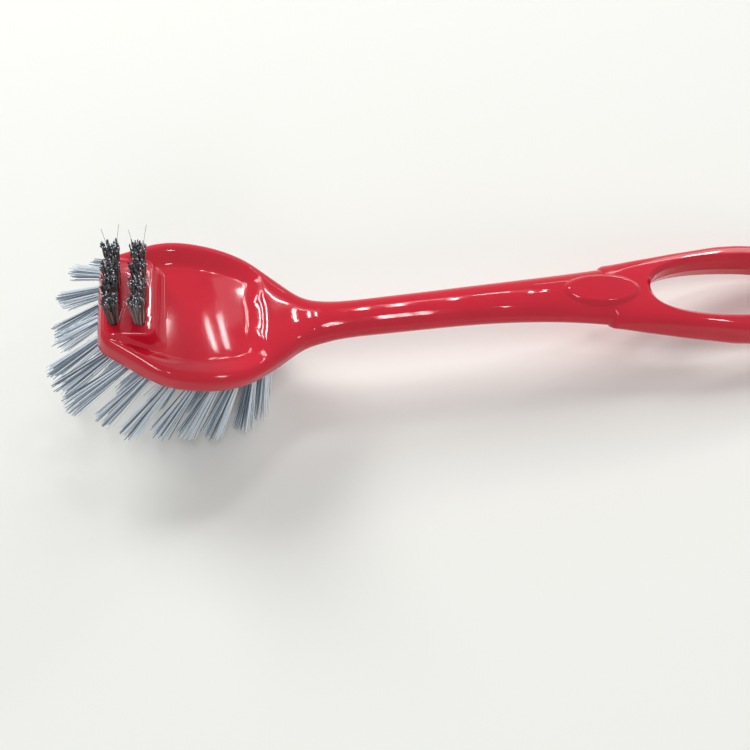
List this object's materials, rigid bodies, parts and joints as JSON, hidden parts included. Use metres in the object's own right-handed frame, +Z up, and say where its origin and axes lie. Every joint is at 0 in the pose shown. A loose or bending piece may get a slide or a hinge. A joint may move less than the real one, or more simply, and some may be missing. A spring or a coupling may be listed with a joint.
{
  "type": "scrubbing brush",
  "caption": "Long-handled scrubbing brush with a splayed round head, a second small groove brush standing on its nose and a loop handle.",
  "frame": {"origin": "on the surface the brush rests on, under the centre of its bounding box", "axes": "+X from the nose to the loop, +Z up as the brush rests, +Y across the head"},
  "size_m": [0.2914, 0.066, 0.0702],
  "materials": {
    "red_body": "glossy injection-moulded red plastic",
    "pale_bristle": "translucent pale blue and slate grey filaments",
    "dark_bristle": "stiff dark grey filaments",
    "anchor_metal": "bare cut strip"
  },
  "bodies": {
    "root": {"brush_body": "red_body", "fan_anchor_01": "anchor_metal", "fan_anchor_02": "anchor_metal", "fan_anchor_03": "anchor_metal", "fan_anchor_04": "anchor_metal", "fan_anchor_05": "anchor_metal", "fan_anchor_06": "anchor_metal", "fan_anchor_07": "anchor_metal", "fan_anchor_08": "anchor_metal", "fan_anchor_09": "anchor_metal", "fan_anchor_10": "anchor_metal", "fan_anchor_11": "anchor_metal", "fan_anchor_12": "anchor_metal", "fan_anchor_13": "anchor_metal", "fan_anchor_14": "anchor_metal", "fan_anchor_15": "anchor_metal", "fan_anchor_16": "anchor_metal", "fan_anchor_17": "anchor_metal", "fan_anchor_18": "anchor_metal", "fan_anchor_19": "anchor_metal", "fan_anchor_20": "anchor_metal", "fan_anchor_21": "anchor_metal", "fan_anchor_22": "anchor_metal", "fan_anchor_23": "anchor_metal", "fan_anchor_24": "anchor_metal", "fan_anchor_25": "anchor_metal", "fan_anchor_26": "anchor_metal", "fan_anchor_27": "anchor_metal", "fan_anchor_28": "anchor_metal", "fan_anchor_29": "anchor_metal", "fan_anchor_30": "anchor_metal", "fan_anchor_31": "anchor_metal", "fan_anchor_32": "anchor_metal", "fan_anchor_33": "anchor_metal", "fan_anchor_34": "anchor_metal", "fan_anchor_35": "anchor_metal", "fan_anchor_36": "anchor_metal", "fan_anchor_37": "anchor_metal", "fan_anchor_38": "anchor_metal", "fan_anchor_39": "anchor_metal", "fan_anchor_40": "anchor_metal", "fan_anchor_41": "anchor_metal", "fan_anchor_42": "anchor_metal", "fan_anchor_43": "anchor_metal", "front_row_bristles": "dark_bristle", "inner_fan_bristles": "pale_bristle", "nose_anchor_01": "anchor_metal", "nose_anchor_02": "anchor_metal", "nose_anchor_03": "anchor_metal", "nose_anchor_04": "anchor_metal", "nose_anchor_05": "anchor_metal", "nose_anchor_06": "anchor_metal", "nose_anchor_07": "anchor_metal", "nose_anchor_08": "anchor_metal", "outer_fan_bristles": "pale_bristle", "rear_row_bristles": "dark_bristle"}
  },
  "joints": []
}
